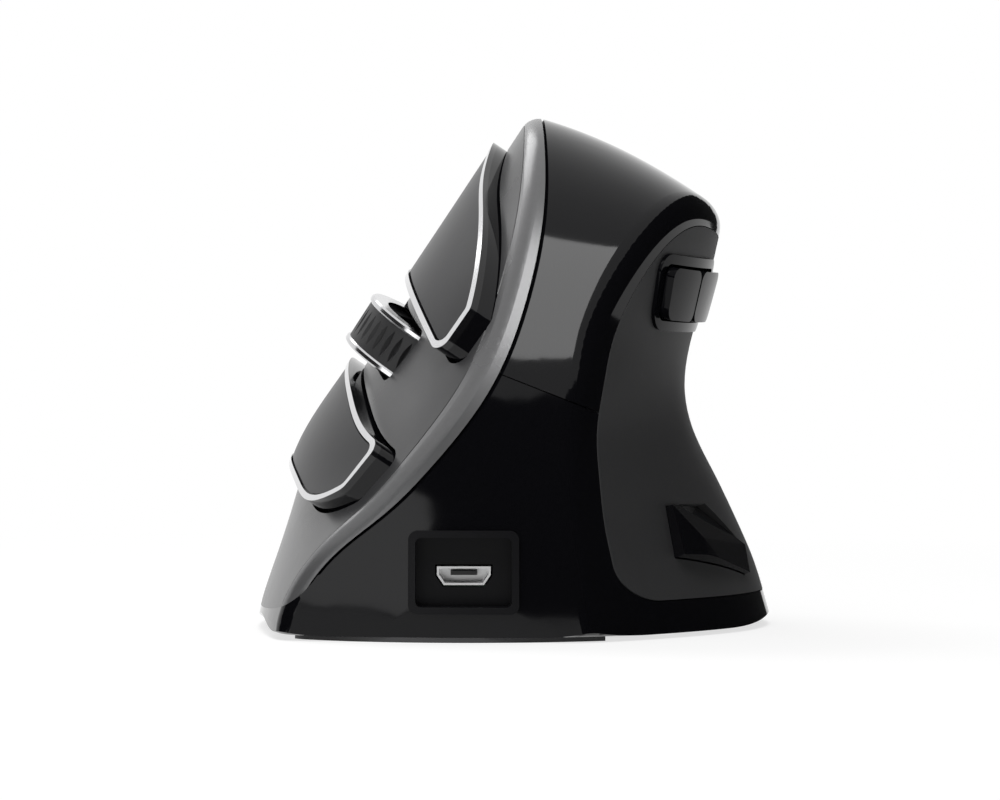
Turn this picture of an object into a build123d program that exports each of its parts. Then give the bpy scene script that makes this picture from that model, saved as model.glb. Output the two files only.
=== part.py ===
"""Vertical ergonomic mouse for the right hand, built up the way the real one comes apart.

The mouse looks toward -Y, its finger side is -X and its thumb side is +X. Z is up from the desk, and the
origin lies on the desk under the middle of the mouse. Lengths are in millimetres.
"""

from math import cos, hypot, radians, sin
import os

from build123d import *

os.makedirs("parts", exist_ok=True)

# Overall size of the housing
length = 100.0
height = 76.4
width = 76.4

# Housing walls and the joints between its mouldings
ridge_y = -5.0
foot_thickness = 0.7
shell_wall = 2.2
plate_thickness = 1.8
grip_thickness = 1.6
side_wall = 1.7
ledge_width = 3.6
ledge_foot = 14.0
band_depth = 1.6
grip_margin = 3.8
grip_foot = 5.2
grip_corner = 5.0
crease_round = 4.0
trim_round = 3.0
foot_round = 4.0
seam_gap = 0.15
seam_height = 36.4
seam_tilt = 21.5
floor_thickness = 3.0
overrun = 20.0

# Base lid and feet
lid_inset = 9.0
lid_thickness = 1.5
lid_seat = 3.0
lid_screw_inset = 11.0
lid_screw_radius = 0.8
lid_screw_head = 1.5
lid_screw_head_depth = 0.8
lid_screw_length = 3.8
lid_boss_radius = 2.2
lid_boss_height = 2.8
foot_inset = 4.9
foot_width = 4.0
foot_left = -31.0
foot_right = 12.6
foot_run = 36.0
board_screw_head = 2.2
board_screw_depth = 1.1

# Main buttons: front inner corner on the slope, width up the slope, and length
wheel_height = 43.3
button_proud = 2.4
button_depth = 2.1
button_gap = 0.45
button_corner = 2.2
rim_width = 0.9
rim_depth = 0.8
groove_width = 0.3
face_sink = 0.2
index_width = 32.9
index_length = 45.9
index_corner = (0.95, -35.45)
middle_width = 20.4
middle_length = 46.7
middle_corner = (-5.55, -38.0)

# Button hinges: a steel pin behind each main button, in ears under the finger plate
hinge_v = 13.0
hinge_drop = 4.8
pin_radius = 0.8
pin_clearance = 0.05
barrel_radius = 1.7
barrel_length = 8.0
ear_thickness = 1.6
ear_gap = 0.35
arm_height = 1.8
index_hinge_u = 23.0
middle_hinge_u = -14.5

# Finger board and its key switches
board_drop = 14.0
board_thickness = 1.6
board_half_width = 21.5
board_front = -25.0
board_rear = 22.5
board_corner = 2.5
board_nose = 7.0
board_nose_width = 16.0
board_nose_u = -2.0
post_radius = 2.3
key_width = 5.8
key_length = 12.8
key_height = 6.5
plunger_rise = 0.8
plunger_width = 1.4
plunger_length = 2.6
plunger_depth = 1.2
plunger_gap = 0.2
plunger_reach = 0.15
actuator_radius = 1.6
key_v = -13.5
index_key_u = 15.0
middle_key_u = -16.8

# Scroll wheel, on an axle that leans a little toward the front
wheel_u = 0.4
wheel_v = -10.5
wheel_proud = 4.6
wheel_lean = 8.0
wheel_radius = 10.75
wheel_width = 7.8
wheel_rim_width = 1.0
wheel_rim_depth = 2.6
tyre_depth = 2.2
tyre_sink = 0.35
tread_count = 40
tread_width = 0.9
tread_depth = 0.5
tread_cutter_radius = 5.2
wheel_slot_width = 9.2
wheel_slot_front = 11.6
wheel_slot_rear = 10.8
wheel_slot_corner = 1.5
axle_radius = 1.1
axle_clearance = 0.05
axle_inner = 10.2
axle_outer = 9.0
dish_radius = 6.4
dish_depth = 2.2

# Wheel carrier: two cheeks and a bridge that sink together when the wheel is pressed
cheek_offset = 4.5
cheek_thickness = 1.3
cheek_front = 3.4
cheek_rise = 1.4
cheek_drop = 4.6
bridge_gap = 0.9
bridge_thickness = 1.6
slide_gap = 0.3
post_thickness = 1.3
guide_rise = 8.4
guide_base = 1.0
encoder_thickness = 3.2
encoder_length = 4.0
encoder_rise = 1.3
encoder_drop = 5.6

# Small push switches
tact_width = 6.0
tact_height = 3.5
tact_plunger_radius = 1.6
tact_rise = 1.0
tact_depth = 1.6
wheel_ear_length = 6.6

# Pointer speed button behind the wheel
speed_v = 8.6
speed_width = 4.6
speed_length = 9.0
speed_proud = 0.9
speed_depth = 2.3
flange_gap = 0.3
flange_width = 0.8
flange_thickness = 1.0
speed_post_radius = 1.4

# Thumb buttons: place on the thumb side, size, and the small board behind them
thumb_y = -20.0
thumb_z = 49.0
thumb_button_height = 7.6
thumb_button_lengths = (10.0, 10.4)
thumb_button_corner = 1.6
thumb_button_gap = 0.35
thumb_button_proud = 1.7
thumb_divider = 0.6
frame_border = 1.4
frame_proud = 0.5
thumb_board_drop = 12.2
thumb_board_thickness = 1.2
thumb_board_length = 30.0
thumb_board_height = 12.0
thumb_post_offset = 12.6
thumb_post_radius = 1.8

# Faceted display pod low on the thumb side
pod_y = -25.0
pod_z = 13.5
pod_length = 24.0
pod_height = 11.0
pod_proud = 1.9
pod_edge = 0.4
pod_end_sink = 0.8
pod_depth = 1.5
pod_gap = 0.15
display_board_length = 11.0
display_board_height = 4.6
display_board_thickness = 0.8

# Charging socket in its recess at the front
port_x = -7.15
port_z = 9.7
port_width = 13.4
port_height = 9.6
port_round = 0.8
port_border = 1.0
port_floor_y = -44.9
port_floor = 1.2
port_proud = 0.5
socket_width = 7.5
socket_narrow = 5.6
socket_height = 2.6
socket_shoulder = 1.2
socket_depth = 5.4
socket_wall = 0.3
socket_drop = 0.6
socket_gap = 0.25
socket_reach = 0.5
tongue_width = 3.7
tongue_thickness = 0.6

# Main board, sensor, battery and power switch inside the base
main_board_thickness = 1.2
main_board_left = -22.0
main_board_right = 6.0
main_board_rear = 8.0
main_board_corner = 1.5
main_post_radius = 2.4
main_post_inset = 4.0
main_post_front = -33.0
sensor_x = -4.0
sensor_y = -14.0
sensor_length = 10.0
sensor_width = 8.0
sensor_height = 2.0
lens_length = 16.0
lens_width = 11.0
lens_flange = 1.2
lens_radius = 3.0
lens_gap = 0.2
lens_window_radius = 4.2
battery_length = 32.0
battery_width = 21.0
battery_height = 5.6
battery_x = -5.0
battery_y = 21.2
battery_round = 1.6
tray_wall = 1.2
tray_height = 2.4
tray_gap = 0.3
power_x = 15.0
power_y = -16.0
power_body_length = 12.0
power_body_width = 6.0
power_body_height = 4.0
power_travel = 3.0
power_knob_length = 4.4
power_knob_width = 2.6
power_knob_rise = 0.5
power_stem_length = 2.2
power_stem_width = 1.4
power_gap = 0.3
power_stem_depth = 2.0
power_seat_depth = 0.6
power_seat_margin = 0.8
power_rib_width = 0.5
power_rib_depth = 0.2
power_rib_pitch = 1.1

# Ridge form: one side profile, front to rear, as shares of length and of the local ridge height.
# The second column of heights is the fuller front that the thumb side of the ridge has.
profile_shares = [
    (-0.500, 0.000, 0.000),
    (-0.494, 0.160, 0.190),
    (-0.474, 0.340, 0.420),
    (-0.434, 0.530, 0.660),
    (-0.360, 0.720, 0.860),
    (-0.270, 0.865, 0.955),
    (-0.175, 0.955, 0.990),
    (-0.060, 1.000, 1.000),
    (0.065, 0.985, 0.985),
    (0.185, 0.915, 0.915),
    (0.290, 0.790, 0.790),
    (0.375, 0.620, 0.620),
    (0.440, 0.420, 0.420),
    (0.482, 0.200, 0.200),
    (0.500, 0.000, 0.000),
]
# Stations across the mouse: place as a share of half the width, ridge height as a share of height,
# front and rear setback as shares of length, and how far the front follows the fuller column.
station_shares = [
    (-1.10, 1.075, 0.085, 0.16, 0.0),
    (-0.45, 1.034, 0.018, 0.035, 0.0),
    (0.20, 0.980, 0.0, 0.0, 0.15),
    (0.70, 0.850, 0.012, 0.035, 0.85),
    (1.20, 0.642, 0.060, 0.16, 1.0),
]

# Finger side and thumb side: each level holds its height, its reach outwards at the ridge, and how far
# the side has curved in by the front and by the rear, as shares of height and of half the width.
finger_level_shares = [
    (0.000, 1.000, 0.15, 0.22),
    (0.049, 0.985, 0.15, 0.22),
    (0.113, 0.945, 0.17, 0.24),
    (0.178, 0.903, 0.24, 0.26),
    (0.252, 0.860, 0.38, 0.29),
    (0.336, 0.806, 0.50, 0.33),
    (0.474, 0.634, 0.58, 0.38),
    (0.632, 0.424, 0.61, 0.42),
    (0.790, 0.214, 0.64, 0.44),
    (0.949, 0.004, 0.65, 0.45),
    (1.107, -0.206, 0.65, 0.45),
]
thumb_level_shares = [
    (0.000, 1.020, 0.67, 0.60),
    (0.049, 0.992, 0.67, 0.58),
    (0.123, 0.947, 0.66, 0.54),
    (0.202, 0.880, 0.64, 0.50),
    (0.296, 0.790, 0.59, 0.44),
    (0.385, 0.705, 0.53, 0.38),
    (0.469, 0.674, 0.50, 0.34),
    (0.553, 0.697, 0.55, 0.33),
    (0.672, 0.765, 0.63, 0.34),
    (0.790, 0.820, 0.68, 0.36),
    (0.988, 0.870, 0.73, 0.38),
    (1.136, 0.885, 0.75, 0.38),
]
side_station_shares = (-0.52, -0.26, 0.0, 0.29, 0.58)
curve_run_share = 0.43

# Underside: the rounded foot of the housing, traced a little outside the housing itself
foot_outline_shares = [
    (-0.860, -0.470),
    (0.290, -0.515),
    (0.800, -0.375),
    (1.030, -0.060),
    (0.900, 0.270),
    (0.500, 0.500),
    (-0.800, 0.450),
    (-0.985, 0.200),
    (-1.035, -0.080),
    (-0.960, -0.330),
]


# Where the finger plate ends above the black foot, seen from the front, as shares of half the width and
# of height
skirt_line_shares = [(-1.100, 0.044), (-0.985, 0.045), (-0.860, 0.060), (-0.780, 0.086), (-0.720, 0.120)]
skirt_end_shares = (-0.560, 0.150)

# Main button outlines: the edge beside the wheel from front to rear, then the far edge from rear to front,
# as shares of the button's own width and length from its front inner corner
index_outline_shares = (
    [(0.000, 0.000), (0.095, 0.218), (0.205, 0.578), (0.256, 0.967)],
    [(0.941, 0.989), (0.990, 0.756), (0.813, 0.467), (0.663, 0.271), (0.484, 0.116), (0.275, 0.004)],
)
middle_outline_shares = (
    [(-0.345, 0.000), (-0.320, 0.145), (-0.205, 0.340), (-0.080, 0.570), (0.025, 0.994)],
    [(-0.900, 0.994), (-0.930, 0.710), (-0.985, 0.430), (-1.010, 0.195), (-0.780, 0.010)],
)

# Display pod outline and its inner ridge point, as shares of its length and height from its middle
pod_outline_shares = [(-0.475, 0.490), (0.033, 0.480), (0.483, -0.100), (0.312, -0.510), (-0.517, -0.182)]
pod_peak_share = (-0.320, -0.027)
half_width = width / 2
underside = foot_thickness
floor_top = underside + floor_thickness


def drawn_in(points, inset):
    """The points of a closed outline, each moved to the right of its travel by inset."""
    moved = []
    for i, (a, b) in enumerate(points):
        before = points[i - 1]
        after = points[(i + 1) % len(points)]
        run_in = hypot(a - before[0], b - before[1])
        run_out = hypot(after[0] - a, after[1] - b)
        turn_a = (b - before[1]) / run_in + (after[1] - b) / run_out
        turn_b = (before[0] - a) / run_in + (a - after[0]) / run_out
        share = 2 / (turn_a**2 + turn_b**2)
        moved.append((a + inset * turn_a * share, b + inset * turn_b * share))
    return moved


def moved_in(points, insets):
    """The points of an open outline, each moved square to the outline by its inset, to its right."""
    moved = []
    for i, (a, b) in enumerate(points):
        before = points[max(i - 1, 0)]
        after = points[min(i + 1, len(points) - 1)]
        run_a = after[0] - before[0]
        run_b = after[1] - before[1]
        run = hypot(run_a, run_b)
        moved.append((a + run_b / run * insets[i], b - run_a / run * insets[i]))
    return moved


def ridge_form(inset=0.0):
    """Everything under the ridge: the front face, the top and the palm slope, moved in by inset."""
    with BuildPart() as form:
        for across, ridge, front, rear, full in station_shares:
            points = []
            for along, plain, fuller in profile_shares:
                y = length * (front - 0.5 + (along + 0.5) * (1 - front - rear))
                z = height * ridge * (plain + (fuller - plain) * full)
                points.append((y, z))
            points = moved_in(points, [inset] * len(points))
            with BuildSketch(Plane.YZ.offset(across * half_width)):
                with BuildLine():
                    Spline(*points)
                    Polyline(points[-1], (points[-1][0], -overrun), (points[0][0], -overrun), points[0])
                make_face()
        loft()
    return form.part


def side_form(level_shares, side, inset=0.0):
    """Everything behind one side, moved in by inset. The thumb side is side 1, the finger side is -1."""
    with BuildPart() as form:
        for station in side_station_shares:
            turn = (station / curve_run_share) ** 2
            points = []
            insets = []
            for z, reach, front, rear in level_shares:
                sag = (front if station < 0 else rear) * half_width
                points.append((side * (reach * half_width - sag * turn), z * height))
                insets.append(side * inset * hypot(1, 2 * sag * station / curve_run_share**2 / length))
            points = moved_in(points, [-i for i in insets])
            far = -side * width
            with BuildSketch(Plane.XZ.offset(-ridge_y - station * length)):
                with BuildLine():
                    Spline(*points)
                    Polyline(
                        points[-1],
                        (far, points[-1][1]),
                        (far, -overrun),
                        (points[0][0], -overrun),
                        points[0],
                    )
                make_face()
        loft()
    return form.part


def foot_blank(inset, low, high):
    """A block with the outline of the foot moved in by inset."""
    outline = [(x * half_width, y * length) for x, y in foot_outline_shares]
    with BuildPart() as block:
        with BuildSketch(Plane.XY.offset(low)):
            with BuildLine():
                Spline(*drawn_in(outline, -inset), periodic=True)
            make_face()
        extrude(amount=high - low)
    return block.part


def foot_form():
    """The rounded underside, taller than the housing."""
    with BuildPart() as form:
        add(foot_blank(0, underside, height + overrun))
        fillet(form.faces().sort_by(Axis.Z)[0].edges(), foot_round)
    return form.part


# Lie of the finger slope: the straight part of the finger side at the ridge, and the plane along it that
# the wheel, the buttons and their board are laid out on. On this plane X runs up the slope, Y runs to the
# rear and Z points out of the mouse.
slope_low = finger_level_shares[5]
slope_high = finger_level_shares[-1]
slope_rise = (slope_high[0] - slope_low[0]) * height
slope_run = (slope_low[1] - slope_high[1]) * half_width
slope_length = hypot(slope_rise, slope_run)
up_slope = (slope_run / slope_length, 0, slope_rise / slope_length)
out_of_slope = (-slope_rise / slope_length, 0, slope_run / slope_length)
slope_start_x = -slope_low[1] * half_width
slope_start_z = slope_low[0] * height
slope_plane = Plane(
    origin=(slope_start_x + (wheel_height - slope_start_z) * slope_run / slope_rise, ridge_y, wheel_height),
    x_dir=up_slope,
    z_dir=out_of_slope,
)


def finger_form(inset=0.0):
    return side_form(finger_level_shares, -1, inset)


def thumb_form(inset=0.0):
    return side_form(thumb_level_shares, 1, inset)


def between(blank, form, outer, inner):
    """The stretch of a blank that lies between two depths under one side of the mouse."""
    with BuildPart() as piece:
        add(blank)
        add(form(outer), mode=Mode.INTERSECT)
        add(form(inner), mode=Mode.SUBTRACT)
    return piece.part


def button_blank(button, inset=0.0):
    """A blank square to the slope with a main button's outline, moved in by inset all round."""
    corner_u, corner_v, button_width, button_length, inner_shares, outer_shares = button
    outline = [
        (corner_u + u * button_width, corner_v + v * button_length)
        for u, v in inner_shares + outer_shares
    ]
    side = 1 if outer_shares[0][0] > inner_shares[0][0] else -1
    outline = drawn_in(outline, side * inset)
    inner = outline[: len(inner_shares)]
    outer = outline[len(inner_shares) :]
    with BuildPart() as blank:
        with BuildSketch(slope_plane.offset(-overrun)):
            with BuildLine():
                Spline(*inner)
                Line(inner[-1], outer[0])
                Spline(*outer)
                Line(outer[-1], inner[0])
            make_face()
        extrude(amount=2 * overrun)
        upright = blank.edges().filter_by(Axis((0, 0, 0), out_of_slope))
        fillet(upright, button_corner - inset / 2)
    return blank.part


def placed(plane, u, v, w=0.0, turn=0.0):
    """A plane moved by a place on it and turned about its own Z."""
    return Plane(plane.location * Location((u, v, w), (0, 0, turn)))


def side_plane(level_shares, side, y, z):
    """A plane touching one side of the mouse, with X running to the rear and Y up the side."""
    low = [row for row in level_shares if row[0] * height <= z][-1]
    high = [row for row in level_shares if row[0] * height > z][0]
    column = 2 if y < ridge_y else 3
    station = (y - ridge_y) / length
    turn = (station / curve_run_share) ** 2
    along = (z / height - low[0]) / (high[0] - low[0])
    sag = low[column] + (high[column] - low[column]) * along
    reach = low[1] + (high[1] - low[1]) * along - sag * turn
    reach_y = -2 * sag * half_width * station / curve_run_share**2 / length
    reach_z = (high[1] - high[column] * turn - low[1] + low[column] * turn) / (high[0] - low[0])
    reach_z = reach_z * half_width / height
    return Plane(
        origin=(side * reach * half_width, y, z),
        x_dir=(side * reach_y, 1, 0),
        z_dir=(side, -reach_y, -reach_z),
    )


def slab(plane, size_u, size_v, low, high, corner=0.0):
    """A block between two heights over a plane, its upright corners rounded by corner."""
    with BuildPart() as block:
        with BuildSketch(plane.offset(low)):
            if corner:
                RectangleRounded(size_u, size_v, corner)
            else:
                Rectangle(size_u, size_v)
        extrude(amount=high - low)
    return block.part


def peg(plane, radius, low, high):
    """A round peg between two heights over a plane."""
    with BuildPart() as pin:
        with BuildSketch(plane.offset(low)):
            Circle(radius)
        extrude(amount=high - low)
    return pin.part


def save(piece, name):
    """Label a finished piece and write its file."""
    piece.part.label = name
    export_step(piece.part, f"parts/{name}.step")


# Housing: the whole outside of the mouse, with its two creases and its foot rounded
with BuildPart() as housing:
    add(ridge_form())
    add(finger_form(), mode=Mode.INTERSECT)
    creases = housing.edges().filter_by(lambda e: e.length > 2 * height)
    fillet(creases, trim_round)
    add(thumb_form(), mode=Mode.INTERSECT)
    creases = housing.edges().filter_by(lambda e: e.length > 2 * height)
    fillet(creases.sort_by(lambda e: (e @ 0.3).X)[-1], crease_round)
    add(foot_form(), mode=Mode.INTERSECT)

seam_lean = radians(seam_tilt)
seam_plane = Plane(
    origin=(0, 0, seam_height),
    x_dir=(cos(seam_lean), 0, -sin(seam_lean)),
    z_dir=(sin(seam_lean), 0, cos(seam_lean)),
)

# Everything below the lower edge of the finger plate
skirt_points = [(x * half_width, z * height) for x, z in skirt_line_shares]
skirt_end = (skirt_end_shares[0] * half_width, skirt_end_shares[1] * height)
with BuildPart() as below_skirt:
    with BuildSketch(Plane.XZ):
        with BuildLine():
            Spline(*skirt_points)
            Polyline(
                skirt_points[-1],
                skirt_end,
                (width, skirt_end[1]),
                (width, -overrun),
                (skirt_points[0][0], -overrun),
                skirt_points[0],
            )
        make_face()
    extrude(amount=length, both=True)

index_shape = (*index_corner, index_width, index_length, *index_outline_shares)
middle_shape = (*middle_corner, middle_width, middle_length, *middle_outline_shares)
button_pockets = [button_blank(index_shape), button_blank(middle_shape)]

# Trim band: the corner strip between the finger plate and the shells
with BuildPart() as trim_band:
    add(housing.part)
    add(ridge_form(band_depth), mode=Mode.SUBTRACT)
    add(finger_form(band_depth), mode=Mode.SUBTRACT)
    add(below_skirt.part, mode=Mode.SUBTRACT)
    add(button_pockets, mode=Mode.SUBTRACT)
save(trim_band, "trim_band")

# Frames of the wheel, the pointer speed button, the thumb buttons and the display pod
wheel_plane = placed(slope_plane, wheel_u, wheel_v, wheel_proud - wheel_radius, -wheel_lean)
speed_plane = placed(slope_plane, wheel_u, speed_v)
thumb_plane = side_plane(thumb_level_shares, 1, thumb_y, thumb_z)
pod_plane = side_plane(thumb_level_shares, 1, pod_y, pod_z)

wheel_slot_length = wheel_slot_front + wheel_slot_rear
wheel_slot_plane = placed(wheel_plane, 0, (wheel_slot_rear - wheel_slot_front) / 2)
wheel_slot = slab(
    wheel_slot_plane, wheel_slot_width, wheel_slot_length, -wheel_radius / 2, overrun, wheel_slot_corner
)
speed_slot_width = speed_width + 2 * button_gap
speed_slot_length = speed_length + 2 * button_gap
speed_slot_foot = -button_depth - overrun / 4
speed_slot = slab(
    speed_plane, speed_slot_width, speed_slot_length, speed_slot_foot, overrun, speed_slot_width / 2.1
)

# Finger plate: the skin of the finger side, with the button pockets, and under it the board posts and the
# ears of the two button hinges
board_plane = slope_plane.offset(-board_drop)
post_places = [
    (-middle_hinge_u, board_rear - 1.5 * post_radius),
    (middle_hinge_u, board_rear - 1.5 * post_radius),
    (board_nose_u - post_radius, board_front - board_nose + 1.2 * post_radius),
]
ear_offset = (barrel_length + ear_thickness) / 2 + ear_gap
with BuildPart() as plate_skin:
    add(housing.part)
    add(ridge_form(band_depth + seam_gap), mode=Mode.INTERSECT)
    add(finger_form(plate_thickness), mode=Mode.SUBTRACT)
    add(below_skirt.part, mode=Mode.SUBTRACT)
    add([*button_pockets, wheel_slot, speed_slot], mode=Mode.SUBTRACT)
with BuildPart() as plate_posts:
    for u, v in post_places:
        add(peg(placed(board_plane, u, v), post_radius, 0, overrun))
    for hinge_u in (index_hinge_u, middle_hinge_u):
        for side in (-1, 1):
            ear = placed(slope_plane, hinge_u + side * ear_offset, hinge_v, -hinge_drop)
            add(slab(ear, ear_thickness, 2 * barrel_radius, -barrel_radius, overrun))
    add(finger_form(plate_thickness / 2), mode=Mode.INTERSECT)
with BuildPart() as finger_plate:
    add(plate_skin.part)
    add(plate_posts.part)
    for hinge_u in (index_hinge_u, middle_hinge_u):
        bore = Plane(origin=placed(slope_plane, hinge_u, hinge_v, -hinge_drop).origin, z_dir=up_slope)
        add(peg(bore, pin_radius, -overrun / 2, overrun / 2), mode=Mode.SUBTRACT)
save(finger_plate, "finger_plate")

# Main buttons: a black cap whose arm reaches back to the hinge, a bright rim round its top and a satin face
# inside the rim, with a thin groove between rim and face
key_foot = -board_drop
key_top = key_foot + key_height
plunger_top = key_top + plunger_rise
for name, shape, hinge_u, key_u in (
    ("index", index_shape, index_hinge_u, index_key_u),
    ("middle", middle_shape, middle_hinge_u, middle_key_u),
):
    cap_blank = button_blank(shape, button_gap)
    groove_blank = button_blank(shape, button_gap + rim_width)
    face_blank = button_blank(shape, button_gap + rim_width + groove_width)
    rim_foot = rim_depth - button_proud

    with BuildPart() as cap_post:
        add(peg(placed(slope_plane, key_u, key_v), actuator_radius, plunger_top + plunger_reach, overrun))
        add(finger_form(button_depth / 2), mode=Mode.INTERSECT)
    arm_length = hinge_v - barrel_radius
    arm_plane = placed(slope_plane, hinge_u, hinge_v - arm_length / 2, -hinge_drop)
    with BuildPart() as cap_arm:
        add(slab(arm_plane, barrel_length, arm_length, -arm_height / 2, arm_height / 2))
        riser_length = arm_length / 2
        riser_plane = placed(slope_plane, hinge_u, hinge_v - arm_length + riser_length / 2, -hinge_drop)
        add(slab(riser_plane, barrel_length, riser_length, 0, hinge_drop - button_depth / 2))
        bore = Plane(origin=placed(slope_plane, hinge_u, hinge_v, -hinge_drop).origin, z_dir=up_slope)
        add(peg(bore, barrel_radius, -barrel_length / 2, barrel_length / 2))
        add(peg(bore, pin_radius + pin_clearance, -barrel_length, barrel_length), mode=Mode.SUBTRACT)
    with BuildPart() as cap:
        add(between(cap_blank, finger_form, rim_foot, button_depth))
        add(cap_post.part)
        add(cap_arm.part)
    save(cap, f"{name}_button")

    with BuildPart() as rim:
        add(between(cap_blank, finger_form, -button_proud, rim_foot))
        add(groove_blank, mode=Mode.SUBTRACT)
    save(rim, f"{name}_button_rim")

    with BuildPart() as face:
        add(between(face_blank, finger_form, face_sink - button_proud, rim_foot))
    save(face, f"{name}_button_face")

    pin_reach = barrel_length / 2 + ear_gap + ear_thickness
    with BuildPart() as pin:
        add(peg(bore, pin_radius, -pin_reach, pin_reach))
    save(pin, f"{name}_hinge_pin")

    key_plane = placed(slope_plane, key_u, key_v)
    key_pocket = (plunger_length + 2 * plunger_gap, plunger_width + 2 * plunger_gap)
    with BuildPart() as key:
        add(slab(key_plane, key_width, key_length, key_foot, key_top))
        pocket_foot = key_top - plunger_depth - plunger_rise
        add(slab(key_plane, *key_pocket, pocket_foot, key_top), mode=Mode.SUBTRACT)
    save(key, f"{name}_switch")
    with BuildPart() as plunger:
        add(slab(key_plane, plunger_length, plunger_width, key_top - plunger_depth, plunger_top))
    save(plunger, f"{name}_plunger")

# Finger board: the circuit board under the finger plate, cut out round the wheel
board_length = board_rear - board_front
board_middle = placed(board_plane, 0, (board_front + board_rear) / 2)
cutout_width = 2 * cheek_offset
cutout_front = wheel_radius + bridge_gap
cutout_length = 2 * cutout_front + 2 * bridge_thickness
with BuildPart() as finger_board:
    add(slab(board_middle, 2 * board_half_width, board_length, -board_thickness, 0, board_corner))
    nose = placed(board_plane, board_nose_u, board_front - board_nose / 2 + board_corner)
    add(slab(nose, board_nose_width, board_nose + 2 * board_corner, -board_thickness, 0, board_corner))
    cutout_plane = placed(wheel_plane, 0, bridge_thickness / 2, -overrun)
    add(slab(cutout_plane, cutout_width, cutout_length, -overrun, overrun), mode=Mode.SUBTRACT)
save(finger_board, "finger_board")

with BuildPart() as board_screws:
    for u, v in post_places:
        add(peg(placed(board_plane, u, v, -board_thickness), board_screw_head, -board_screw_depth, 0))
save(board_screws, "board_screws")

# Scroll wheel: a dished hub, a ribbed tyre sunk into its rim, a bright ring on each flank and the axle
axle_plane = Plane(origin=wheel_plane.origin, x_dir=wheel_plane.z_dir, z_dir=wheel_plane.x_dir)
half_wheel = wheel_width / 2
tyre_half = half_wheel - wheel_rim_width
hub_radius = wheel_radius - tyre_depth
with BuildPart() as wheel_hub:
    add(peg(axle_plane, hub_radius, -tyre_half, tyre_half))
    for side in (-1, 1):
        dish = sorted((side * tyre_half, side * (tyre_half - dish_depth / 2)))
        add(peg(axle_plane, dish_radius, *dish), mode=Mode.SUBTRACT)
    add(peg(axle_plane, 2 * axle_radius, -tyre_half, tyre_half))
    add(peg(axle_plane, axle_radius, -overrun, overrun), mode=Mode.SUBTRACT)
save(wheel_hub, "wheel_hub")

# Each tread groove is cut by a sharp-edged disc, so it is widest and deepest in the middle of the tyre
tread_radius = wheel_radius - tyre_sink
tread_foot = tread_radius - tread_depth
tread_plane = Plane(origin=axle_plane.origin, x_dir=axle_plane.y_dir, z_dir=-axle_plane.z_dir)
cutter_centre = tread_plane.from_local_coords((0, tread_foot + tread_cutter_radius, 0))
with BuildPart() as tread_cutter:
    with BuildSketch(tread_plane):
        with BuildLine():
            Polyline(
                (0, tread_foot),
                (tread_width, tread_foot + 2 * tread_depth),
                (-tread_width, tread_foot + 2 * tread_depth),
                close=True,
            )
        make_face()
    revolve(axis=Axis(cutter_centre, tread_plane.x_dir))
tread_cutters = [
    tread_cutter.part.rotate(Axis(axle_plane.origin, axle_plane.z_dir), 360 * i / tread_count)
    for i in range(tread_count)
]
with BuildPart() as wheel_tyre:
    add(peg(axle_plane, tread_radius, -tyre_half, tyre_half))
    add(peg(axle_plane, hub_radius, -overrun, overrun), mode=Mode.SUBTRACT)
    add(tread_cutters, mode=Mode.SUBTRACT)
save(wheel_tyre, "wheel_tyre")

with BuildPart() as wheel_rims:
    for side in (-1, 1):
        flank = sorted((side * tyre_half, side * half_wheel))
        add(peg(axle_plane, wheel_radius, *flank))
        add(peg(axle_plane, wheel_radius - wheel_rim_depth, *flank), mode=Mode.SUBTRACT)
    outer_edges = wheel_rims.edges().filter_by(GeomType.CIRCLE).group_by(SortBy.RADIUS)[-1]
    chamfer(outer_edges, wheel_rim_width / 4)
save(wheel_rims, "wheel_rims")

with BuildPart() as wheel_axle:
    add(peg(axle_plane, axle_radius, -axle_inner, axle_outer))
save(wheel_axle, "wheel_axle")

# Wheel carrier: cheeks beside the wheel, a bridge behind it and an ear over the wheel's own switch
guide_foot = -board_drop - (wheel_proud - wheel_radius)
cheek_rear = wheel_radius + bridge_gap + bridge_thickness
cheek_length = cheek_front + cheek_rear
ear_u = -(cheek_offset + cheek_thickness + wheel_ear_length / 2)
with BuildPart() as wheel_carrier:
    for side in (-1, 1):
        cheek_u = side * (cheek_offset + cheek_thickness / 2)
        cheek = placed(wheel_plane, cheek_u, (cheek_rear - cheek_front) / 2)
        add(slab(cheek, cheek_thickness, cheek_length, -cheek_drop, cheek_rise))
    bridge = placed(wheel_plane, 0, cheek_rear - bridge_thickness / 2)
    add(slab(bridge, 2 * cheek_offset, bridge_thickness, -cheek_drop, cheek_rise / 2))
    ear_top = -axle_radius - axle_clearance - slide_gap / 2
    ear_plane = placed(wheel_plane, ear_u, 0)
    ear_foot = guide_foot + tact_height + tact_rise + plunger_reach
    add(slab(ear_plane, wheel_ear_length, tact_width, ear_foot, ear_top))
    add(peg(axle_plane, axle_radius + axle_clearance, -overrun, overrun), mode=Mode.SUBTRACT)
save(wheel_carrier, "wheel_carrier")

# Rotary encoder on the outer cheek, turned by the axle
encoder_u = cheek_offset + cheek_thickness + encoder_thickness / 2
with BuildPart() as wheel_encoder:
    encoder_plane = placed(wheel_plane, encoder_u, 0)
    add(slab(encoder_plane, encoder_thickness, encoder_length, -encoder_drop, encoder_rise))
    add(peg(axle_plane, axle_radius + axle_clearance, -overrun, overrun), mode=Mode.SUBTRACT)
save(wheel_encoder, "wheel_encoder")

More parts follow.
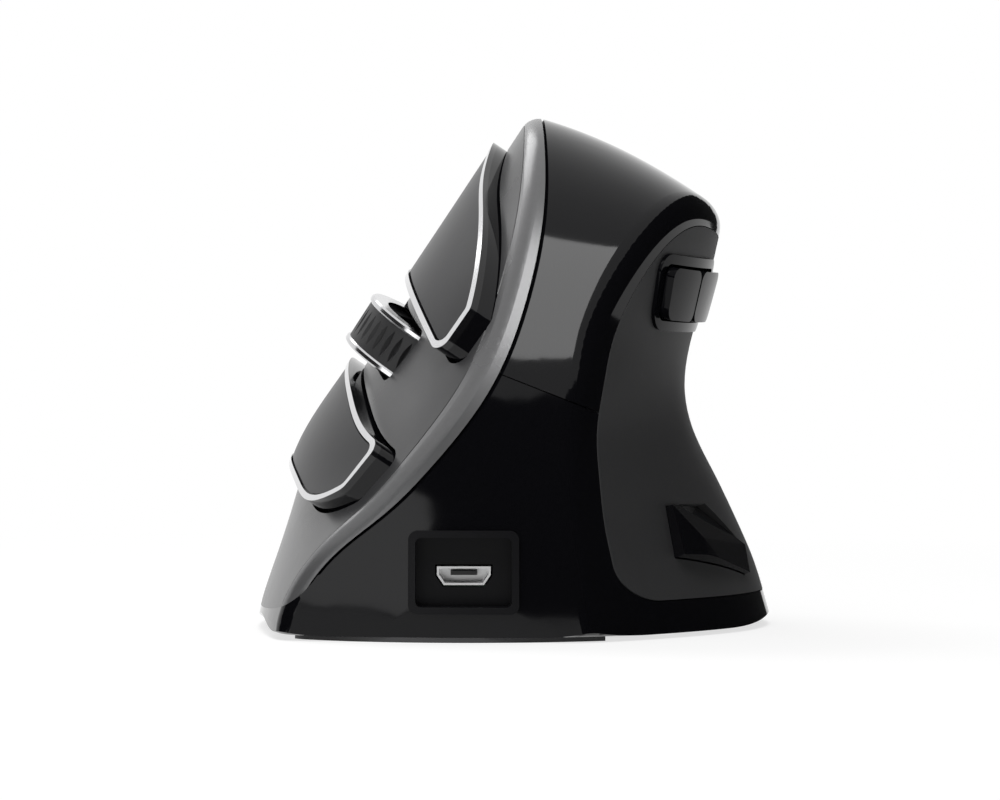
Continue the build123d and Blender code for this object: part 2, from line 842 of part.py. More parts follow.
# Wheel guide on the board: a frame with four posts that the cheeks slide between
guide_length = cheek_length + 2 * (slide_gap + post_thickness)
guide_plane = placed(wheel_plane, 0, (cheek_rear - cheek_front) / 2)
with BuildPart() as wheel_guide:
    guide_width = 2 * (cheek_offset + cheek_thickness)
    add(slab(guide_plane, guide_width, guide_length, guide_foot, guide_foot + guide_base))
    add(slab(cutout_plane, cutout_width, cutout_length, -overrun, 2 * overrun), mode=Mode.SUBTRACT)
    for side in (-1, 1):
        post_u = side * (cheek_offset + cheek_thickness / 2)
        for end in (-1, 1):
            post_v = end * (guide_length - post_thickness) / 2
            post = placed(guide_plane, post_u, post_v)
            add(slab(post, cheek_thickness, post_thickness, guide_foot, guide_foot + guide_rise))
save(wheel_guide, "wheel_guide")


def tact_switch(plane, low, name):
    """A small push switch standing on a board, and its round plunger."""
    top = low + tact_height
    with BuildPart() as case:
        add(slab(plane, tact_width, tact_width, low, top))
        hole_foot = top - tact_depth - tact_rise
        add(peg(plane, tact_plunger_radius + plunger_gap, hole_foot, top), mode=Mode.SUBTRACT)
    save(case, f"{name}_switch")
    with BuildPart() as plunger:
        add(peg(plane, tact_plunger_radius, top - tact_depth, top + tact_rise))
    save(plunger, f"{name}_plunger")


tact_switch(placed(wheel_plane, ear_u, 0), guide_foot, "wheel")
tact_switch(speed_plane, -board_drop, "speed")

# Pointer speed button: a rounded cap behind the wheel with a flange that keeps it under the plate
tact_top = tact_height + tact_rise
with BuildPart() as speed_button:
    cap_size = (speed_width, speed_length)
    flange_reach = 2 * (button_gap + flange_width)
    flange_size = (speed_width + flange_reach, speed_length + flange_reach)
    blank = slab(speed_plane, *cap_size, -overrun / 2, overrun, speed_width / 2.1)
    flange = slab(speed_plane, *flange_size, -overrun / 2, overrun, speed_width / 2.1)
    flange_top = plate_thickness + flange_gap
    add(between(blank, finger_form, -speed_proud, flange_top + flange_thickness / 2))
    add(between(flange, finger_form, flange_top, flange_top + flange_thickness))
    add(peg(speed_plane, speed_post_radius, tact_top - board_drop + plunger_reach, -flange_top))
save(speed_button, "speed_button")

# Cavity: the space inside the walls, down to the floor of the lower shell
with BuildPart() as cavity:
    add(ridge_form(shell_wall))
    add(finger_form(plate_thickness + seam_gap + side_wall), mode=Mode.INTERSECT)
    add(thumb_form(grip_thickness + seam_gap + side_wall), mode=Mode.INTERSECT)
    split(bisect_by=Plane.XY.offset(floor_top), keep=Keep.TOP)


def grip_window(gap):
    """Everything on the thumb side of the mouse that lies inside the edge of the grip."""
    with BuildPart() as window:
        add(ridge_form(grip_margin + gap))
        split(bisect_by=Plane.XY.offset(grip_foot + gap), keep=Keep.TOP)
        lowest_edges = window.faces().sort_by(Axis.Z)[0].edges()
        corners = lowest_edges.filter_by(lambda e: abs(e.tangent_at(0.5).X) > 0.5)
        fillet(corners, grip_corner)
    return window.part


# Thumb buttons: two caps in one frame that is let into the grip
front_cap, rear_cap = thumb_button_lengths
caps_length = front_cap + thumb_divider + rear_cap
frame_length = caps_length + 2 * (thumb_button_gap + frame_border)
frame_height = thumb_button_height + 2 * (thumb_button_gap + frame_border)
frame_blank = slab(
    thumb_plane, frame_length, frame_height, -overrun / 2, overrun, thumb_button_corner + frame_border
)
caps_hole = slab(
    thumb_plane,
    caps_length + 2 * thumb_button_gap,
    thumb_button_height + 2 * thumb_button_gap,
    -overrun / 2,
    overrun,
    thumb_button_corner,
)
with BuildPart() as side_frame:
    add(between(frame_blank, thumb_form, -frame_proud, grip_thickness + seam_gap))
    add(caps_hole, mode=Mode.SUBTRACT)
save(side_frame, "side_button_frame")

thumb_board_top = thumb_board_thickness - thumb_board_drop
thumb_flange_top = grip_thickness + seam_gap + side_wall + flange_gap
for name, cap_length, cap_place in (
    ("forward", front_cap, (front_cap - caps_length) / 2),
    ("back", rear_cap, (caps_length - rear_cap) / 2),
):
    cap_plane = placed(thumb_plane, cap_place, 0)
    blank = slab(cap_plane, cap_length, thumb_button_height, -overrun / 2, overrun, thumb_button_corner)
    flange_height = thumb_button_height + 2 * (flange_width + thumb_button_gap)
    flange = slab(cap_plane, cap_length, flange_height, -overrun / 2, overrun)
    switch_plane = placed(cap_plane, 0, 0, thumb_board_top)
    with BuildPart() as thumb_cap:
        add(between(blank, thumb_form, -thumb_button_proud, thumb_flange_top + flange_thickness / 2))
        add(between(flange, thumb_form, thumb_flange_top, thumb_flange_top + flange_thickness))
        post_top = -thumb_board_top - thumb_flange_top
        add(peg(switch_plane, speed_post_radius, tact_top + plunger_reach, post_top))
    save(thumb_cap, f"{name}_button")
    tact_switch(switch_plane, 0, name)

with BuildPart() as thumb_board:
    thumb_board_size = (thumb_board_length, thumb_board_height)
    add(slab(thumb_plane, *thumb_board_size, -thumb_board_drop, thumb_board_top, board_corner / 2))
save(thumb_board, "thumb_board")

# Display pod: a faceted window that stands out of the grip, with its small board behind it
pod_points = [(s * pod_length, r * pod_height) for s, r in pod_outline_shares]
pod_peak = (pod_peak_share[0] * pod_length, pod_peak_share[1] * pod_height)
pod_corners = [pod_plane.from_local_coords((s, r, pod_edge)) for s, r in pod_points]
pod_top = pod_plane.from_local_coords((*pod_peak, pod_proud))
pod_end = pod_plane.from_local_coords((*pod_points[2], -pod_end_sink))


def facet(a, b, c):
    """A plane through three points."""
    return Plane(origin=a, x_dir=b - a, z_dir=(b - a).cross(c - a))


with BuildPart() as display_pod:
    with BuildSketch(pod_plane.offset(-pod_depth - grip_thickness)):
        with BuildLine():
            Polyline(*pod_points, close=True)
        make_face()
    extrude(amount=pod_depth + grip_thickness + pod_proud)
    split(bisect_by=facet(pod_corners[0], pod_top, pod_end), keep=Keep.BOTTOM)
    split(bisect_by=facet(pod_top, pod_corners[3], pod_end), keep=Keep.BOTTOM)
    split(bisect_by=facet(pod_corners[0], pod_corners[4], pod_top), keep=Keep.BOTTOM)
save(display_pod, "display_pod")

with BuildPart() as pod_hole:
    with BuildSketch(pod_plane.offset(-overrun / 2)):
        with BuildLine():
            Polyline(*drawn_in(pod_points, -pod_gap), close=True)
        make_face()
    extrude(amount=overrun)

# Thumb grip: the rubber skin of the thumb side
with BuildPart() as thumb_grip:
    add(housing.part)
    add(grip_window(seam_gap), mode=Mode.INTERSECT)
    add(thumb_form(grip_thickness), mode=Mode.SUBTRACT)
    add(frame_blank, mode=Mode.SUBTRACT)
    add(pod_hole.part, mode=Mode.SUBTRACT)
save(thumb_grip, "thumb_grip")

# Charging socket: a recess with a raised border let into the front, and the socket in its floor
port_plane = Plane(origin=(port_x, port_floor_y, port_z), x_dir=(1, 0, 0), z_dir=(0, -1, 0))
port_outer = (port_width + 2 * port_border, port_height + 2 * port_border)
socket_plane = placed(port_plane, 0, -socket_drop)
socket_outline = [
    (-socket_width / 2, socket_height / 2),
    (socket_width / 2, socket_height / 2),
    (socket_width / 2, socket_height / 2 - socket_shoulder),
    (socket_narrow / 2, -socket_height / 2),
    (-socket_narrow / 2, -socket_height / 2),
    (-socket_width / 2, socket_height / 2 - socket_shoulder),
]


def socket_blank(inset, low, high):
    """A block with the outline of the charging socket, moved in by inset."""
    with BuildPart() as block:
        with BuildSketch(socket_plane.offset(low)):
            with BuildLine():
                Polyline(*drawn_in(socket_outline, inset), close=True)
            make_face()
        extrude(amount=high - low)
    return block.part


with BuildPart() as port_surround:
    add(slab(port_plane, *port_outer, -port_floor, overrun / 2, port_round + port_border / 2))
    add(ridge_form(-port_proud), mode=Mode.INTERSECT)
    add(slab(port_plane, port_width, port_height, 0, overrun, port_round), mode=Mode.SUBTRACT)
    add(socket_blank(-socket_gap, -overrun / 2, overrun), mode=Mode.SUBTRACT)
save(port_surround, "port_surround")

with BuildPart() as usb_socket_shell:
    add(socket_blank(0, socket_reach - socket_depth, socket_reach))
    add(socket_blank(socket_wall, socket_reach - socket_depth + socket_wall, overrun), mode=Mode.SUBTRACT)
save(usb_socket_shell, "usb_socket_shell")

tongue_rise = socket_height / 2 - socket_wall - socket_height / 4
tongue_plane = placed(socket_plane, 0, tongue_rise)
with BuildPart() as usb_socket_tongue:
    tongue_foot = socket_reach - socket_depth + socket_wall
    add(slab(tongue_plane, tongue_width, tongue_thickness, tongue_foot, -socket_wall))
save(usb_socket_tongue, "usb_socket_tongue")

# Display board: the small board that the pod is fixed on
with BuildPart() as display_board:
    board_back = -pod_depth - grip_thickness - display_board_thickness
    add(slab(pod_plane, display_board_length, display_board_height, board_back, -pod_depth - grip_thickness))
save(display_board, "display_board")

# Shells: the black outside of the mouse in two halves that meet at the seam, with seats for the plate, the
# band, the grip, the port and the lid
plate_seat = plate_thickness + seam_gap
with BuildPart() as plate_pocket:
    with BuildSketch(Plane.XY.offset(-overrun)):
        Rectangle(3 * width, 2 * length)
    extrude(amount=height + 3 * overrun)
    add(finger_form(plate_seat), mode=Mode.SUBTRACT)
    add(below_skirt.part, mode=Mode.SUBTRACT)
with BuildPart() as plate_window:
    add(ridge_form(band_depth + ledge_width))
    add(finger_form(plate_seat + 2 * side_wall), mode=Mode.SUBTRACT)
    split(bisect_by=Plane.XY.offset(ledge_foot), keep=Keep.TOP)
    add(thumb_form(ledge_width), mode=Mode.INTERSECT)
with BuildPart() as grip_pocket:
    add(grip_window(0))
    add(thumb_form(grip_thickness + seam_gap), mode=Mode.SUBTRACT)
with BuildPart() as casing:
    add(housing.part)
    add(cavity.part, mode=Mode.SUBTRACT)
    add(plate_pocket.part, mode=Mode.SUBTRACT)
    add(plate_window.part, mode=Mode.SUBTRACT)
    add(grip_pocket.part, mode=Mode.SUBTRACT)
    add([*button_pockets, caps_hole, pod_hole.part], mode=Mode.SUBTRACT)

# Upper shell, with the two posts that carry the thumb board
with BuildPart() as thumb_posts:
    for place in (-thumb_post_offset, thumb_post_offset):
        add(peg(placed(thumb_plane, place, 0), thumb_post_radius, thumb_board_top, overrun))
    add(thumb_form(grip_thickness + seam_gap + side_wall / 2), mode=Mode.INTERSECT)
with BuildPart() as upper_shell:
    add(casing.part)
    split(bisect_by=seam_plane.offset(seam_gap / 2), keep=Keep.TOP)
    add(thumb_posts.part)
save(upper_shell, "upper_shell")

# Lower shell, with the hole for the port, the seat of the base plate and the bosses for its screws
lid_outline = [(x * half_width, y * length) for x, y in foot_outline_shares]
lid_screw_line = drawn_in(lid_outline, -lid_screw_inset)
lid_screw_places = [lid_screw_line[i] for i in (0, 2, 5, 7)]
lid_top = underside + lid_thickness
with BuildPart() as lower_shell:
    add(casing.part)
    split(bisect_by=seam_plane.offset(-seam_gap / 2), keep=Keep.BOTTOM)
    port_hole = slab(port_plane, *port_outer, -overrun / 2, overrun / 2, port_round + port_border / 2)
    add(port_hole, mode=Mode.SUBTRACT)
    add(foot_blank(lid_inset, -overrun, lid_top), mode=Mode.SUBTRACT)
    add(foot_blank(lid_inset + lid_seat, -overrun, floor_top + overrun / 4), mode=Mode.SUBTRACT)
    with BuildSketch(Plane.XY.offset(lid_top)):
        with Locations(*lid_screw_places):
            Circle(lid_boss_radius)
    extrude(amount=lid_boss_height)
    with BuildSketch(Plane.XY.offset(lid_top)):
        with Locations(*lid_screw_places):
            Circle(lid_screw_radius)
    extrude(amount=lid_screw_length - lid_thickness, mode=Mode.SUBTRACT)
save(lower_shell, "lower_shell")

# Base plate: the lid under the mouse, with the sensor's window, the power slot, the posts of the main board
# and the tray of the battery
main_board_top = port_z - socket_drop - socket_height / 2
main_board_foot = main_board_top - main_board_thickness
main_board_front = port_floor_y + port_floor + seam_gap
main_post_places = [
    (x, y)
    for x in (main_board_left + main_post_inset, main_board_right - main_post_inset)
    for y in (main_post_front, main_board_rear - main_post_inset)
]
power_plane = Plane(origin=(power_x, power_y, underside))
power_slot_length = power_stem_length + power_travel + 2 * power_gap
power_slot_width = power_stem_width + 2 * power_gap
power_seat_length = power_knob_length + power_travel + 2 * power_seat_margin
power_seat_width = power_knob_width + 2 * power_seat_margin
tray_length = battery_length + 2 * (tray_gap + tray_wall)
tray_width = battery_width + 2 * (tray_gap + tray_wall)
battery_plane = Plane(origin=(battery_x, battery_y, lid_top))
with BuildPart() as base_plate:
    add(foot_blank(lid_inset + seam_gap, underside, lid_top))
    with BuildSketch(Plane.XY.offset(lid_top)):
        with Locations(*main_post_places):
            Circle(main_post_radius)
    extrude(amount=main_board_foot - lid_top)
    tray_room = (tray_length - 2 * tray_wall, tray_width - 2 * tray_wall)
    add(slab(battery_plane, tray_length, tray_width, 0, tray_height, battery_round + tray_wall))
    add(slab(battery_plane, *tray_room, 0, tray_height, battery_round), mode=Mode.SUBTRACT)
    with BuildSketch(Plane.XY):
        with Locations((sensor_x, sensor_y)):
            Circle(lens_window_radius)
    extrude(amount=overrun, mode=Mode.SUBTRACT)
    power_seat = (power_seat_width, power_seat_length, -overrun, power_seat_depth, power_seat_width / 3)
    add(slab(power_plane, *power_seat), mode=Mode.SUBTRACT)
    add(slab(power_plane, power_slot_width, power_slot_length, -overrun, overrun), mode=Mode.SUBTRACT)
    with BuildSketch(Plane.XY):
        with Locations(*lid_screw_places):
            Circle(lid_screw_radius)
    extrude(amount=overrun, mode=Mode.SUBTRACT)
    with BuildSketch(Plane.XY):
        with Locations(*lid_screw_places):
            Circle(lid_screw_head)
    extrude(amount=underside + lid_screw_head_depth, mode=Mode.SUBTRACT)
save(base_plate, "base_plate")

with BuildPart() as lid_screws:
    with BuildSketch(Plane.XY.offset(underside)):
        with Locations(*lid_screw_places):
            Circle(lid_screw_head)
    extrude(amount=lid_screw_head_depth)
    with BuildSketch(Plane.XY.offset(underside)):
        with Locations(*lid_screw_places):
            Circle(lid_screw_radius)
    extrude(amount=lid_screw_length)
save(lid_screws, "lid_screws")

# Feet: two low-friction strips that follow the edge of the underside at the front and at the rear
foot_middle = (foot_left + foot_right) / 2
for name, end in (("front_foot", -1), ("rear_foot", 1)):
    with BuildPart() as foot:
        with BuildSketch(Plane.XY):
            with Locations((foot_middle, end * length / 2)):
                Rectangle(foot_right - foot_left, length - 2 * foot_run)
        extrude(amount=underside)
        add(foot_blank(foot_inset, 0, underside), mode=Mode.INTERSECT)
        add(foot_blank(foot_inset + foot_width, -overrun, overrun), mode=Mode.SUBTRACT)
    save(foot, name)

# Main board, with the sensor under it looking down through its lens and the window of the base plate
main_board_middle = ((main_board_left + main_board_right) / 2, (main_board_front + main_board_rear) / 2)
main_board_plane = Plane(origin=(*main_board_middle, main_board_foot))
main_board_size = (main_board_right - main_board_left, main_board_rear - main_board_front)
with BuildPart() as main_board:
    add(slab(main_board_plane, *main_board_size, 0, main_board_thickness, main_board_corner))
save(main_board, "main_board")

sensor_plane = Plane(origin=(sensor_x, sensor_y, lid_top))
sensor_foot = main_board_foot - lid_top - sensor_height
with BuildPart() as sensor_chip:
    add(slab(sensor_plane, sensor_width, sensor_length, sensor_foot, sensor_foot + sensor_height))
save(sensor_chip, "sensor_chip")

with BuildPart() as sensor_lens:
    add(slab(sensor_plane, lens_width, lens_length, 0, lens_flange, lens_radius))
    add(peg(sensor_plane, lens_window_radius - lens_gap, -lid_thickness / 2, 0))
    add(peg(sensor_plane, lens_radius, lens_flange, sensor_foot - lens_gap))
save(sensor_lens, "sensor_lens")

# Battery: a flat pouch cell in its tray
with BuildPart() as battery:
    add(slab(battery_plane, battery_length, battery_width, 0, battery_height, battery_round))
    chamfer(battery.faces().sort_by(Axis.Z)[-1].edges(), battery_round / 2)
save(battery, "battery")

# Power switch: its body on the base plate, and the knob that slides in a seat in the underside
knob_plane = placed(power_plane, 0, -power_travel / 2)
with BuildPart() as power_switch:
    body_foot = lid_thickness
    add(slab(power_plane, power_body_width, power_body_length, body_foot, body_foot + power_body_height))
    stem_room = (power_slot_width, power_slot_length)
    stem_end = body_foot + power_stem_depth + power_gap
    add(slab(power_plane, *stem_room, body_foot, stem_end), mode=Mode.SUBTRACT)
save(power_switch, "power_switch")

with BuildPart() as power_knob:
    knob_top = power_seat_depth - power_gap / 2
    knob_size = (power_knob_width, power_knob_length)
    add(slab(knob_plane, *knob_size, -power_knob_rise, knob_top, power_knob_width / 3))
    add(slab(knob_plane, power_stem_width, power_stem_length, knob_top, lid_thickness + power_stem_depth))
    with BuildSketch(knob_plane.offset(-power_knob_rise)):
        with GridLocations(0, power_rib_pitch, 1, 3):
            Rectangle(power_knob_width, power_rib_width)
    extrude(amount=power_rib_depth, mode=Mode.SUBTRACT)
save(power_knob, "power_knob")
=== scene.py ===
"""Looks of a right-hand vertical mouse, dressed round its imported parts."""

from math import radians

import bpy
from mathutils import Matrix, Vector

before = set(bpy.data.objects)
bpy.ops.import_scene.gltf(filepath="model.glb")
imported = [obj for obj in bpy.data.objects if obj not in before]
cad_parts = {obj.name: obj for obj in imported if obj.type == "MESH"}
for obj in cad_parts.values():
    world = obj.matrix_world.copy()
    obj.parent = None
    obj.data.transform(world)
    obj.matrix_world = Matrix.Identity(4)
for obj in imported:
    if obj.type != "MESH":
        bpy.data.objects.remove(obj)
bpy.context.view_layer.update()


# Outer shells and base plate: injection-moulded black plastic, polished in the tool. The two
# shells meet at a seam across the front, and the base plate closes them from below with screws.
class Wire:
    """The output of a shader node. Sums on it add Math nodes, and node() adds any other node."""

    def __init__(self, socket):
        self.socket = socket
        self.tree = socket.id_data

    def node(self, kind, settings, sockets, output=0):
        made = self.tree.nodes.new("ShaderNode" + kind)
        for name, value in settings.items():
            setattr(made, name, value)
        for name, value in sockets.items():
            self.plug(made.inputs[name], value)
        return Wire(made.outputs[output])

    def plug(self, target, value):
        if isinstance(value, Wire):
            self.tree.links.new(value.socket, target)
        else:
            target.default_value = value

    def math(self, operation, first, second):
        return self.node("Math", {"operation": operation}, {0: first, 1: second})

    def blend(self, low, high):
        """The colour low where this value is 0, and high where it is 1."""
        return self.node("Mix", {"data_type": "RGBA"}, {0: self, 6: low, 7: high}, output=2)

    def __add__(self, other):
        return self.math("ADD", self, other)

    def __radd__(self, other):
        return self.math("ADD", other, self)

    def __mul__(self, other):
        return self.math("MULTIPLY", self, other)

    def __rmul__(self, other):
        return self.math("MULTIPLY", other, self)


def blank(name):
    """A new material and the shader that comes with it."""
    material = bpy.data.materials.new(name)
    material.use_nodes = True
    return material, material.node_tree.nodes["Principled BSDF"]


smudges_per_metre = 90.0
grain_strength = 0.25


def moulded(name, colour, rough, speckle=0.06, smudge=0.04, grain=1400.0, depth=0.004, **steady):
    """A moulded finish: faint speckle in its colour, faint smudges, and a grain depth mm deep."""
    material, shader = blank(name)
    for socket, value in steady.items():
        shader.inputs[socket.replace("_", " ")].default_value = value
    start = Wire(shader.outputs[0]).node("TexCoord", {}, {}, output="Object")
    fine = start.node("TexNoise", {}, {"Vector": start, "Scale": grain, "Detail": 3.0})
    smears = {"Vector": start, "Scale": smudges_per_metre, "Detail": 4.0, "Roughness": 0.6}
    broad = start.node("TexNoise", {}, smears)
    pale = tuple(min(1.0, c * (1 + speckle)) for c in colour)
    dark = tuple(c * (1 - speckle) for c in colour)
    relief = {"Strength": grain_strength, "Distance": depth / 1000, "Height": fine}
    start.plug(shader.inputs["Base Color"], fine.blend((*dark, 1.0), (*pale, 1.0)))
    start.plug(shader.inputs["Roughness"], rough - smudge / 2 + smudge * broad)
    start.plug(shader.inputs["Normal"], start.node("Bump", {}, relief))
    return material


def dress(material, *nodes):
    """Give CAD nodes a finish in place of the one they came with."""
    for node in nodes:
        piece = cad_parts[node]
        piece.data.materials.clear()
        piece.data.materials.append(material)


gloss_black = moulded(
    "gloss_black", (0.004, 0.004, 0.005), 0.06, grain=900.0, depth=0.001, Specular_IOR_Level=0.2
)
dress(gloss_black, "upper_shell", "lower_shell", "base_plate")

# Finger plate: the dark grey skin of the finger slope, moulded in plastic and lacquered. It
# clips on over the shells and carries the hinges of the main buttons.
plate_grey = moulded(
    "plate_grey", (0.050, 0.050, 0.052), 0.26, grain=1800.0, depth=0.002, Specular_IOR_Level=0.3
)
dress(plate_grey, "finger_plate")

# Trim band: the paler strip that fills the corner between the finger plate and the shells,
# moulded in plastic and painted satin grey.
trim_grey = moulded("trim_grey", (0.140, 0.140, 0.143), 0.27, Metallic=0.3)
dress(trim_grey, "trim_band")

# Main buttons: each is a gloss black cap on a hinge arm, with a rim and a satin face let into
# its top. The rim is plated only on the side that faces out of the finger slope, and black on
# its flanks, which makes it read as the thin bright line of the real one.
cap_black = moulded("cap_black", (0.004, 0.004, 0.005), 0.05, Specular_IOR_Level=0.3)
face_grey = moulded(
    "face_grey", (0.034, 0.034, 0.036), 0.34, grain=2200.0, Specular_IOR_Level=0.12
)
rim_edge = moulded("rim_edge", (0.66, 0.66, 0.67), 0.14, speckle=0.02)
rim_flank = (0.006, 0.006, 0.007, 1.0)
out_of_slope = (-0.836, 0.0, 0.549)
plated_above = 0.8
rim_shader = rim_edge.node_tree.nodes["Principled BSDF"]
silver = Wire(rim_shader.inputs["Base Color"].links[0].from_socket)
facing = silver.node("TexCoord", {}, {}, output="Normal")
outward = facing.node(
    "VectorMath", {"operation": "DOT_PRODUCT"}, {0: facing, 1: out_of_slope}, output="Value"
)
plated = outward.math("GREATER_THAN", outward, plated_above)
plated.plug(rim_shader.inputs["Base Color"], plated.blend(rim_flank, silver))
plated.plug(rim_shader.inputs["Metallic"], plated)
dress(cap_black, "index_button", "middle_button")
dress(rim_edge, "index_button_rim", "middle_button_rim")
dress(face_grey, "index_button_face", "middle_button_face")

# Scroll wheel: a ribbed rubber tyre between two plated rings, on a nylon hub and a steel axle.
# It turns in a nylon carrier that slides in a guide. The pins and screws are of the same steel.
tyre_black = moulded("tyre_black", (0.022, 0.022, 0.023), 0.55, grain=2600.0, depth=0.01)
rim_silver = moulded("rim_silver", (0.62, 0.62, 0.63), 0.16, speckle=0.03, Metallic=1.0)
steel = moulded("steel", (0.55, 0.55, 0.56), 0.26, Metallic=1.0)
nylon_black = moulded("nylon_black", (0.030, 0.030, 0.032), 0.45)
dress(tyre_black, "wheel_tyre")
dress(rim_silver, "wheel_rims")
dress(nylon_black, "wheel_hub", "wheel_carrier", "wheel_guide", "wheel_encoder")
dress(steel, "wheel_axle", "index_hinge_pin", "middle_hinge_pin", "board_screws", "lid_screws")

# Small buttons: the pointer speed button behind the wheel, and the two thumb buttons in their
# shared frame, all moulded in gloss black.
side_black = moulded("side_black", (0.003, 0.003, 0.004), 0.05, Specular_IOR_Level=0.06)
dress(side_black, "speed_button", "forward_button", "back_button", "side_button_frame")

# Thumb grip: a soft rubber skin moulded over the thumb side, with a fine matte grain that
# keeps the thumb from slipping.
grip_rubber = moulded(
    "grip_rubber",
    (0.022, 0.022, 0.023),
    0.58,
    speckle=0.12,
    grain=2400.0,
    depth=0.02,
    Specular_IOR_Level=0.4,
)
dress(grip_rubber, "thumb_grip")

# Display pod: a faceted window of smoked plastic, set into the thumb side in front of its
# small display board.
smoked = moulded("smoked", (0.004, 0.004, 0.005), 0.04, Specular_IOR_Level=0.3)
dress(smoked, "display_pod")

# Charging socket: a folded steel shell round a black tongue, soldered to the front of the main
# board, at the back of a recess moulded in dull black.
socket_steel = moulded("socket_steel", (0.70, 0.70, 0.70), 0.30, Metallic=1.0)
tongue_black = moulded("tongue_black", (0.015, 0.015, 0.016), 0.45)
recess_black = moulded("recess_black", (0.004, 0.004, 0.005), 0.35, Specular_IOR_Level=0.15)
dress(recess_black, "port_surround")
dress(socket_steel, "usb_socket_shell")
dress(tongue_black, "usb_socket_tongue")

# Underside: two slippery foot strips glued under the base plate, and the knob of the power
# switch in its seat.
foot_grey = moulded("foot_grey", (0.05, 0.05, 0.052), 0.40, grain=3000.0)
knob_grey = moulded("knob_grey", (0.30, 0.30, 0.31), 0.42)
dress(foot_grey, "front_foot", "rear_foot")
dress(knob_grey, "power_knob")

# Inside: green circuit boards, black switches with pale plungers, the sensor with its clear
# lens, and a flat cell in a foil pouch.
board_green = moulded("board_green", (0.012, 0.085, 0.035), 0.35)
switch_black = moulded("switch_black", (0.02, 0.02, 0.022), 0.38)
plunger_pale = moulded("plunger_pale", (0.62, 0.61, 0.57), 0.45)
foil = moulded("foil", (0.50, 0.50, 0.52), 0.32, Metallic=1.0)
lens_clear = moulded("lens_clear", (0.90, 0.92, 0.94), 0.05, Transmission_Weight=0.9)
dress(board_green, "main_board", "finger_board", "thumb_board", "display_board")
dress(switch_black, "index_switch", "middle_switch", "wheel_switch", "speed_switch")
dress(switch_black, "forward_switch", "back_switch", "sensor_chip", "power_switch")
dress(plunger_pale, "index_plunger", "middle_plunger", "wheel_plunger", "speed_plunger")
dress(plunger_pale, "forward_plunger", "back_plunger")
dress(foil, "battery")
dress(lens_clear, "sensor_lens")


# Floor: a pale sheet under the mouse. It lights the mouse as a plain pale floor does. Where it
# is looked at, straight or in a gloss, it shows white, and near the mouse a soft shadow.
def looked_at(wire):
    """1 for a ray of the camera, of a gloss or through a clear piece, and 0 for other light."""
    camera_ray = wire.node("LightPath", {}, {}, output="Is Camera Ray")
    glossy_ray = wire.node("LightPath", {}, {}, output="Is Glossy Ray")
    clear_ray = wire.node("LightPath", {}, {}, output="Is Transmission Ray")
    return camera_ray + glossy_ray + clear_ray


def grey(level):
    """A plain grey with its alpha."""
    return (level, level, level, 1.0)


floor_reach = 3.0
shadow_core, shadow_edge = 0.08, 0.34
floor_mesh = bpy.data.meshes.new("floor")
floor_signs = ((-1, -1), (1, -1), (1, 1), (-1, 1))
floor_corners = [(x * floor_reach, y * floor_reach, 0.0) for x, y in floor_signs]
floor_mesh.from_pydata(floor_corners, [], [(0, 1, 2, 3)])
floor = bpy.data.objects.new("floor", floor_mesh)
bpy.context.scene.collection.objects.link(floor)
floor_pale, lit = blank("floor_pale")
lit.inputs["Base Color"].default_value = grey(0.8)
lit.inputs["Roughness"].default_value = 0.9
spot = Wire(lit.outputs[0]).node("TexCoord", {}, {}, output="Object")
away = spot.node("VectorMath", {"operation": "LENGTH"}, {0: spot}, output="Value")
fade = away.node("MapRange", {}, {0: away, 1: shadow_core, 2: shadow_edge, 3: 0.0, 4: 1.0})
shown = fade.node(
    "BsdfPrincipled",
    {},
    {
        "Base Color": fade.blend(grey(0.4), grey(0.0)),
        "Roughness": 1.0,
        "Specular IOR Level": 0.0,
        "Emission Color": fade.blend(grey(0.7), grey(1.0)),
        "Emission Strength": 1.0,
    },
)
floor_look = spot.node("MixShader", {}, {0: looked_at(spot), 1: Wire(lit.outputs[0]), 2: shown})
floor_look.plug(floor_pale.node_tree.nodes["Material Output"].inputs["Surface"], floor_look)
floor_mesh.materials.append(floor_pale)

# White surround: the world, which is white where it is looked at and lights the mouse at less
# than half of that.
world_light = 0.45
surround = bpy.data.worlds.new("surround")
surround.use_nodes = True
bpy.context.scene.world = surround
sky = surround.node_tree.nodes["Background"]
sky.inputs["Color"].default_value = grey(1.0)
seen = looked_at(Wire(sky.outputs[0]))
seen.plug(sky.inputs["Strength"], world_light + (1 - world_light) * seen)


# Lamps: a narrow strip above the front, which makes the bright patch on the upper shell, a low
# panel at the left for the faint patch below it, and a soft box behind for the top edge.
def lamp(name, place, aim, size, power):
    """A soft rectangular lamp that faces a point."""
    light = bpy.data.lights.new(name, "AREA")
    light.shape = "RECTANGLE"
    light.size, light.size_y = size
    light.energy = power
    holder = bpy.data.objects.new(name, light)
    holder.location = place
    holder.rotation_euler = (Vector(aim) - Vector(place)).to_track_quat("-Z", "Y").to_euler()
    bpy.context.scene.collection.objects.link(holder)


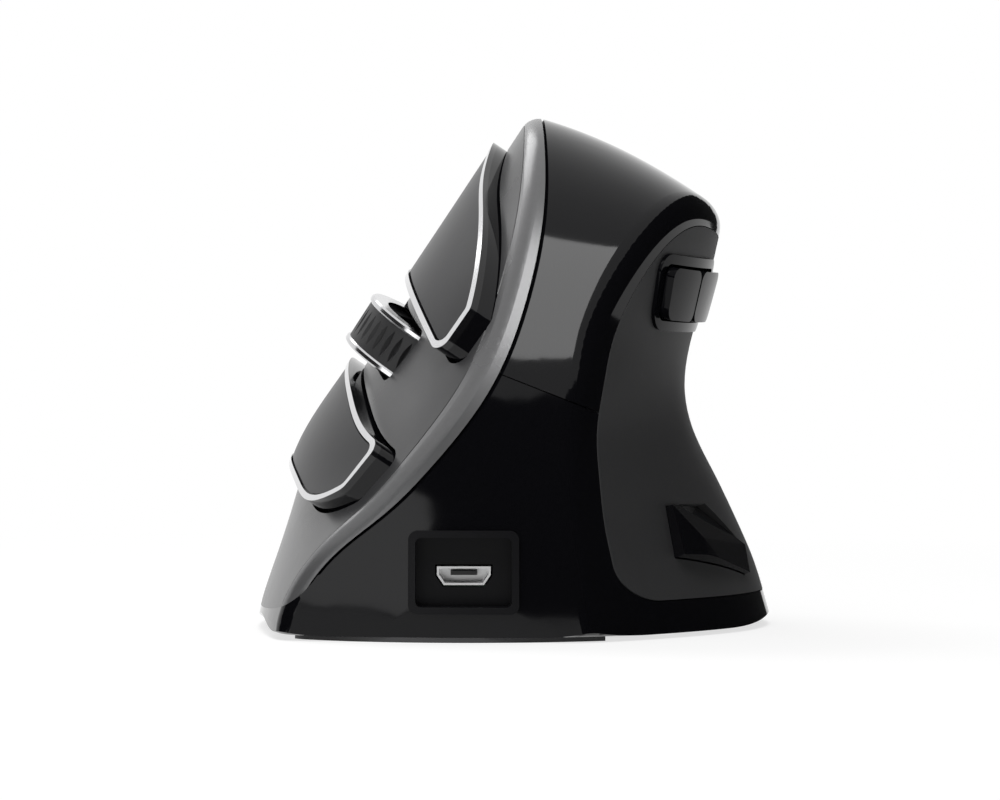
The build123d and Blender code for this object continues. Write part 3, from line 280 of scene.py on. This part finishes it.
lamp(
    "front_strip",
    place=(0.005, -0.44, 0.64),
    aim=(0.005, -0.04, 0.05),
    size=(0.20, 0.46),
    power=2.2,
)
lamp(
    "left_panel",
    place=(-0.46, -0.86, 0.13),
    aim=(-0.02, -0.05, 0.02),
    size=(0.5, 0.25),
    power=0.8,
)
lamp(
    "rear_softbox",
    place=(-0.5, 0.7, 0.9),
    aim=(0.0, 0.0, 0.04),
    size=(0.6, 0.6),
    power=4.0,
)

# Black flags: upright cards of black felt to the right, in front and to the left, as a studio
# has them. They keep the gloss of the shells dark, and the camera looks straight through them.
flag_black, felt = blank("flag_black")
felt.inputs["Base Color"].default_value = grey(0.004)
felt.inputs["Roughness"].default_value = 1.0
card = Wire(felt.outputs[0])
camera_sees = card.node("LightPath", {}, {}, output="Is Camera Ray")
clear = card.node("BsdfTransparent", {}, {})
flag_look = card.node("MixShader", {}, {0: camera_sees, 1: card, 2: clear})
flag_look.plug(flag_black.node_tree.nodes["Material Output"].inputs["Surface"], flag_look)
for name, (start_x, start_y), (end_x, end_y), top in (
    ("right_flag", (0.9, -1.3), (0.9, 2.4), 1.1),
    ("front_flag", (-1.2, -1.3), (0.9, -1.3), 0.75),
    ("left_flag", (-1.2, -1.3), (-1.2, 0.3), 0.75),
):
    sheet = bpy.data.meshes.new(name)
    low = ((start_x, start_y, 0.0), (end_x, end_y, 0.0))
    high = ((end_x, end_y, top), (start_x, start_y, top))
    sheet.from_pydata([*low, *high], [], [(0, 1, 2, 3)])
    sheet.materials.append(flag_black)
    flag = bpy.data.objects.new(name, sheet)
    bpy.context.scene.collection.objects.link(flag)

# Camera: level, in front of the mouse at about half its height, with a long lens as for a
# product photograph.
camera_lens = bpy.data.cameras.new("camera")
camera_lens.lens = 127.7
camera_lens.sensor_width = 36.0
camera_lens.clip_start = 0.01
camera = bpy.data.objects.new("camera", camera_lens)
camera.location = (-0.0021, -0.540, 0.0336)
camera.rotation_euler = (radians(90), 0, 0)
bpy.context.scene.collection.objects.link(camera)
bpy.context.scene.camera = camera
bpy.context.scene.view_settings.view_transform = "Standard"
